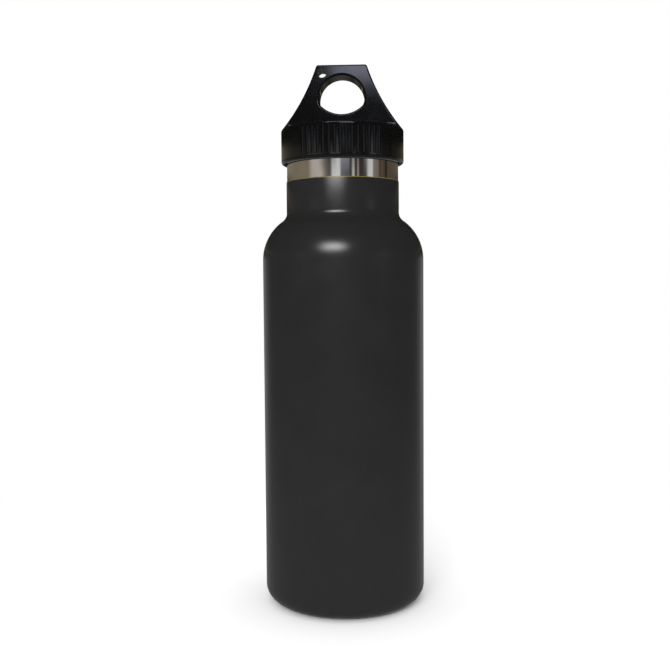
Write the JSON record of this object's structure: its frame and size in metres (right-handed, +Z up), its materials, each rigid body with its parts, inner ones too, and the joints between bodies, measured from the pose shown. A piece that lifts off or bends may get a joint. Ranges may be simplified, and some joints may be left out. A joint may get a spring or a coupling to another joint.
{
  "type": "water bottle",
  "caption": "Slim double-walled steel bottle with a rounded shoulder, bare metal neck and a screw-in cap that rises into an A-shaped carry loop with a finger hole and a small lanyard hole.",
  "frame": {"origin": "centre of the standing ring, on the surface that the bottle stands on", "axes": "+Z up along the bottle's axis; the loop's flat faces look along +Y and -Y; the lanyard hole is on the -X side"},
  "size_m": [0.0736, 0.0736, 0.2444],
  "materials": {
    "polished_steel": "polished stainless",
    "powder_coat": "fine matte powder coat",
    "base_steel": "satin stainless",
    "seal_glass": "dull braze",
    "getter": "sintered",
    "liner_steel": "electropolished stainless",
    "foil": "bright foil",
    "silicone": "translucent matte silicone",
    "plug_plastic": "satin moulded polypropylene",
    "foam": "closed-cell foam",
    "cap_plastic": "satin moulded polypropylene"
  },
  "bodies": {
    "bottle": {"outer_shell": "polished_steel", "coating": "powder_coat", "base_cup": "base_steel", "base_disc": "base_steel", "vacuum_seal": "seal_glass", "getter_tablet": "getter", "getter_clip": "liner_steel", "inner_liner": "liner_steel", "liner_bottom": "liner_steel", "foil_wrap": "foil"},
    "seal_ring": {"gasket": "silicone"},
    "lid": {"lid_cap": "cap_plastic", "lid_plug": "plug_plastic", "plug_foam": "foam"}
  },
  "joints": [
    {"name": "lid_rise", "type": "slide", "parent": "bottle", "child": "seal_ring", "axis": [0, 0, 1], "range_m": [0, 0.0301]},
    {"name": "lid_turn", "type": "hinge", "parent": "seal_ring", "child": "lid", "pos_m": [0, 0, 0.211], "axis": [0, 0, 1], "range_deg": [0, 2160]}
  ],
  "couplings": [
    {"joint": "lid_rise", "follows": "lid_turn", "m_per_rad": 0.00079577}
  ]
}
